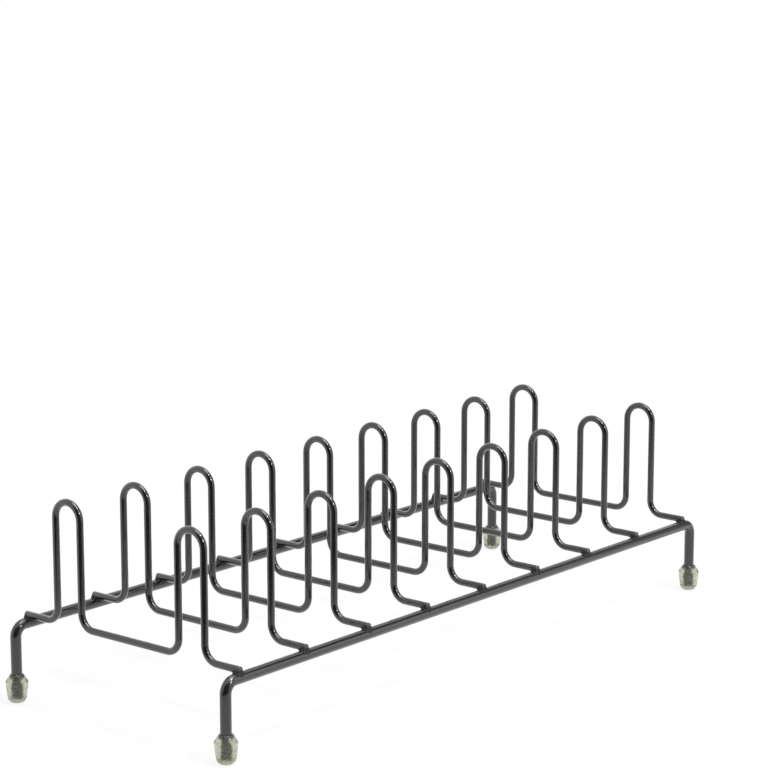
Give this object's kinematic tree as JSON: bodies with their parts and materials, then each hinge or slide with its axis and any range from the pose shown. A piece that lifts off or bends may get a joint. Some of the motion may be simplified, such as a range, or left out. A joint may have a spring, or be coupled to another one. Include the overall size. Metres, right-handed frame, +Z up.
{
  "type": "plate display stand",
  "caption": "Low wire rack that stands plates on edge in a row, with hairpin uprights on wires welded across legged rails, and soft caps on its feet.",
  "frame": {"origin": "on the table, in the middle of the footprint", "axes": "+X along the rails, +Y to the rear, +Z up"},
  "size_m": [0.4148, 0.1602, 0.1112],
  "materials": {
    "rail_finish": "gloss dark gunmetal enamel",
    "wire_finish": "gloss dark gunmetal enamel",
    "weld_metal": "gloss dark enamel over rough weld metal",
    "cap_vinyl": "clear soft vinyl, faintly yellow"
  },
  "bodies": {
    "root": {"front_rail": "rail_finish", "rear_rail": "rail_finish", "plate_wire_1": "wire_finish", "plate_wire_2": "wire_finish", "plate_wire_3": "wire_finish", "plate_wire_4": "wire_finish", "plate_wire_5": "wire_finish", "plate_wire_6": "wire_finish", "plate_wire_7": "wire_finish", "plate_wire_8": "wire_finish", "plate_wire_9": "wire_finish", "weld_front_1": "weld_metal", "weld_front_2": "weld_metal", "weld_front_3": "weld_metal", "weld_front_4": "weld_metal", "weld_front_5": "weld_metal", "weld_front_6": "weld_metal", "weld_front_7": "weld_metal", "weld_front_8": "weld_metal", "weld_front_9": "weld_metal", "weld_rear_1": "weld_metal", "weld_rear_2": "weld_metal", "weld_rear_3": "weld_metal", "weld_rear_4": "weld_metal", "weld_rear_5": "weld_metal", "weld_rear_6": "weld_metal", "weld_rear_7": "weld_metal", "weld_rear_8": "weld_metal", "weld_rear_9": "weld_metal", "foot_cap_front_left": "cap_vinyl", "foot_cap_front_right": "cap_vinyl", "foot_cap_rear_left": "cap_vinyl", "foot_cap_rear_right": "cap_vinyl"}
  },
  "joints": []
}
